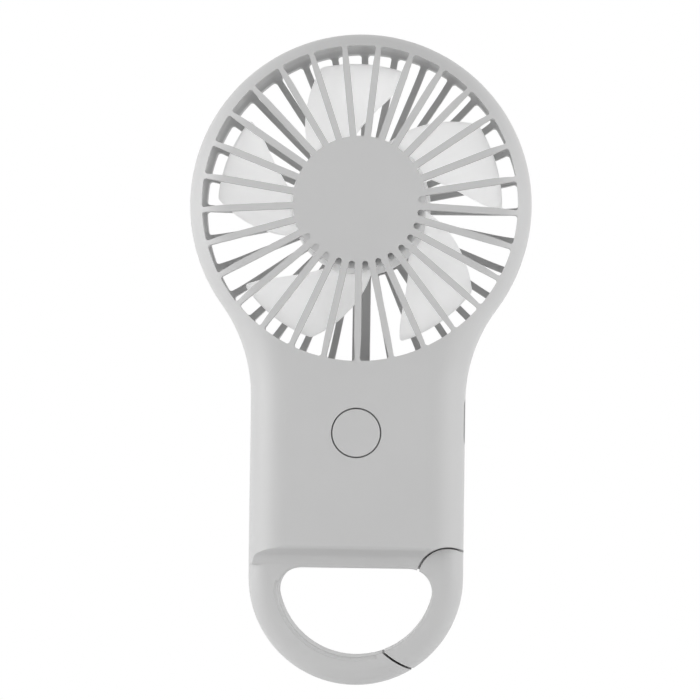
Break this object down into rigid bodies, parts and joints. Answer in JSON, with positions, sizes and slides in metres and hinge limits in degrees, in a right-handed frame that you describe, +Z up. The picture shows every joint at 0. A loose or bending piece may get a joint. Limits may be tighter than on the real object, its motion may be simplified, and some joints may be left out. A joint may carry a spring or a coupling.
{
  "type": "handheld fan",
  "caption": "Handheld rechargeable fan with a round guarded head, a flat grip with a push button and a carabiner loop with a sprung gate.",
  "frame": {"origin": "centre of the hand grip, on the parting plane of the two shells", "axes": "+Z up from the loop to the head, +Y from the front guard to the rear guard (the fan's axis), +X to the right seen from the front"},
  "size_m": [0.0714, 0.025, 0.1358],
  "materials": {
    "shell_plastic": "fine satin moulded plastic",
    "gate_plastic": "fine satin moulded plastic",
    "button_plastic": "fine satin moulded plastic",
    "impeller_plastic": "smooth pale plastic",
    "black_plastic": "matte",
    "steel": "plain",
    "zinc_steel": "zinc plated",
    "core_steel": "stacked sheets",
    "ferrite": "sintered",
    "bronze": "plain",
    "copper": "enamelled",
    "board": "solder mask",
    "battery_foil": "crimped foil",
    "foam": "soft foam",
    "lead_red": "smooth",
    "lead_black": "smooth"
  },
  "bodies": {
    "shell": {"front_shell": "shell_plastic", "rear_shell": "shell_plastic", "motor_can": "zinc_steel", "motor_bushes": "bronze", "motor_end_cap": "black_plastic", "motor_magnets": "ferrite", "motor_terminals": "bronze", "motor_lead_red": "lead_red", "motor_lead_black": "lead_black", "switch_body": "black_plastic", "circuit_board": "board", "board_parts": "black_plastic", "board_screws": "steel", "usb_shell": "zinc_steel", "usb_tongue": "black_plastic", "battery_pouch": "battery_foil", "battery_pad": "foam", "battery_lead_red": "lead_red", "battery_lead_black": "lead_black", "gate_spring": "steel", "shell_screws": "steel"},
    "impeller": {"impeller": "impeller_plastic", "motor_shaft": "steel", "motor_armature": "core_steel", "motor_windings": "copper", "motor_commutator": "copper"},
    "button": {"button_cap": "button_plastic", "switch_plunger": "black_plastic"},
    "gate": {"carabiner_gate": "gate_plastic", "gate_pin": "steel"}
  },
  "joints": [
    {"name": "impeller_spin", "type": "hinge", "parent": "shell", "child": "impeller", "pos_m": [0, 0, 0.054], "axis": [0, 1, 0], "continuous": true},
    {"name": "button_press", "type": "slide", "parent": "shell", "child": "button", "axis": [0, 1, 0], "range_m": [0, 0.0005], "stiffness_N_per_m": 600, "springref_m": -0.001},
    {"name": "gate_swing", "type": "hinge", "parent": "shell", "child": "gate", "pos_m": [0.0192, 0, -0.0235], "axis": [0, 1, 0], "range_deg": [0, 28], "stiffness_Nm_per_rad": 0.015, "springref_deg": -28.65, "deforming": ["gate_spring"]}
  ]
}
